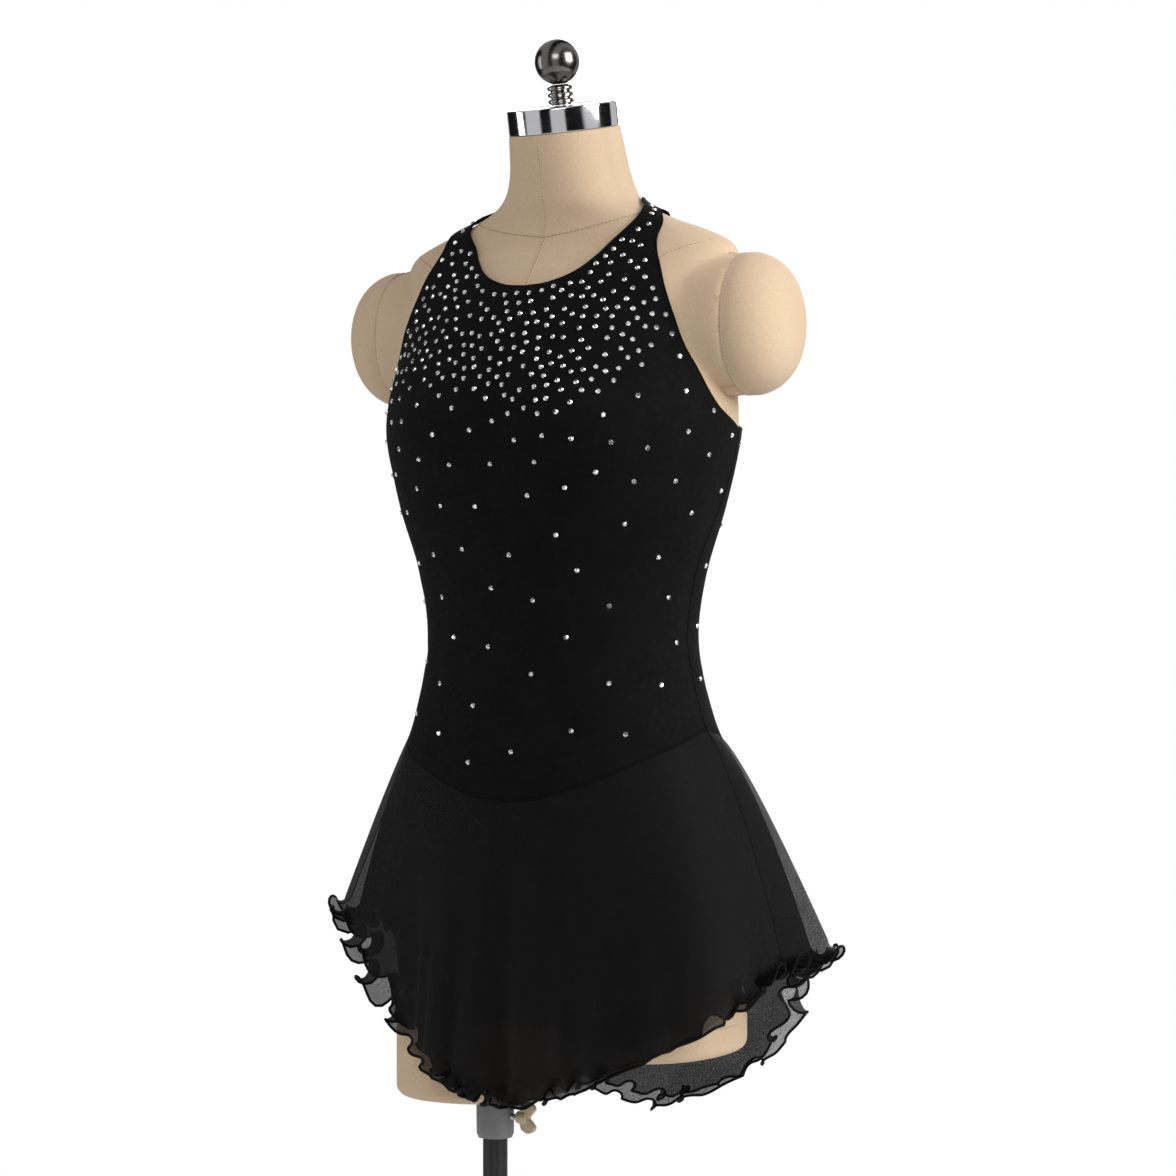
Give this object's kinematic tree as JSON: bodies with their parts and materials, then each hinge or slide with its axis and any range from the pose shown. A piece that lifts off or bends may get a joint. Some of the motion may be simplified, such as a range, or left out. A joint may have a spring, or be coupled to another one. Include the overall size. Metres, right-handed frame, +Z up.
{
  "type": "figure skating dress on a dress form",
  "caption": "Sleeveless halter-neck skating dress with a two-layer sheer skirt, worn by a limbless dress form on a pole stand.",
  "frame": {"origin": "centre of the round base's underside, on the floor, on the pole's axis", "axes": "+Z up along the pole, -Y the way the form faces, +X to the form's own left"},
  "size_m": [0.4774, 0.3545, 1.5253],
  "materials": {
    "knit": "matt black stretch knit",
    "sheer": "sheer black chiffon with a rolled hem",
    "linen": "natural linen cover, plain weave",
    "board": "dark grey board",
    "chrome": "bright chrome",
    "smoked_chrome": "dark smoked chrome",
    "grey_plastic": "mid grey moulded plastic",
    "screw_steel": "zinc-plated steel",
    "cream_plastic": "cream moulded plastic",
    "charcoal": "charcoal powder coat"
  },
  "bodies": {
    "base": {"base_plate": "charcoal", "base_hub": "charcoal", "pole": "charcoal"},
    "form": {"bodice_front": "knit", "bodice_back": "knit", "neck_band_left": "knit", "neck_band_right": "knit", "skirt_outer_front": "sheer", "skirt_outer_back": "sheer", "skirt_under_front": "sheer", "skirt_under_back": "sheer", "form_torso": "linen", "form_stub_long": "linen", "form_stub_short": "linen", "shoulder_cap_left": "linen", "shoulder_cap_right": "linen", "stub_board_long": "board", "stub_board_short": "board", "neck_cap": "chrome", "finial_stem": "chrome", "finial_ball": "smoked_chrome", "pole_collar": "grey_plastic"},
    "key": {"clamp_screw": "screw_steel", "clamp_key": "cream_plastic"}
  },
  "joints": [
    {"name": "height_slide", "type": "slide", "parent": "base", "child": "form", "axis": [0, 0, 1], "range_m": [0, 0.25]},
    {"name": "key_turn", "type": "hinge", "parent": "form", "child": "key", "pos_m": [0, 0, 0.626], "axis": [1, 0, 0], "range_deg": [0, 540]}
  ]
}
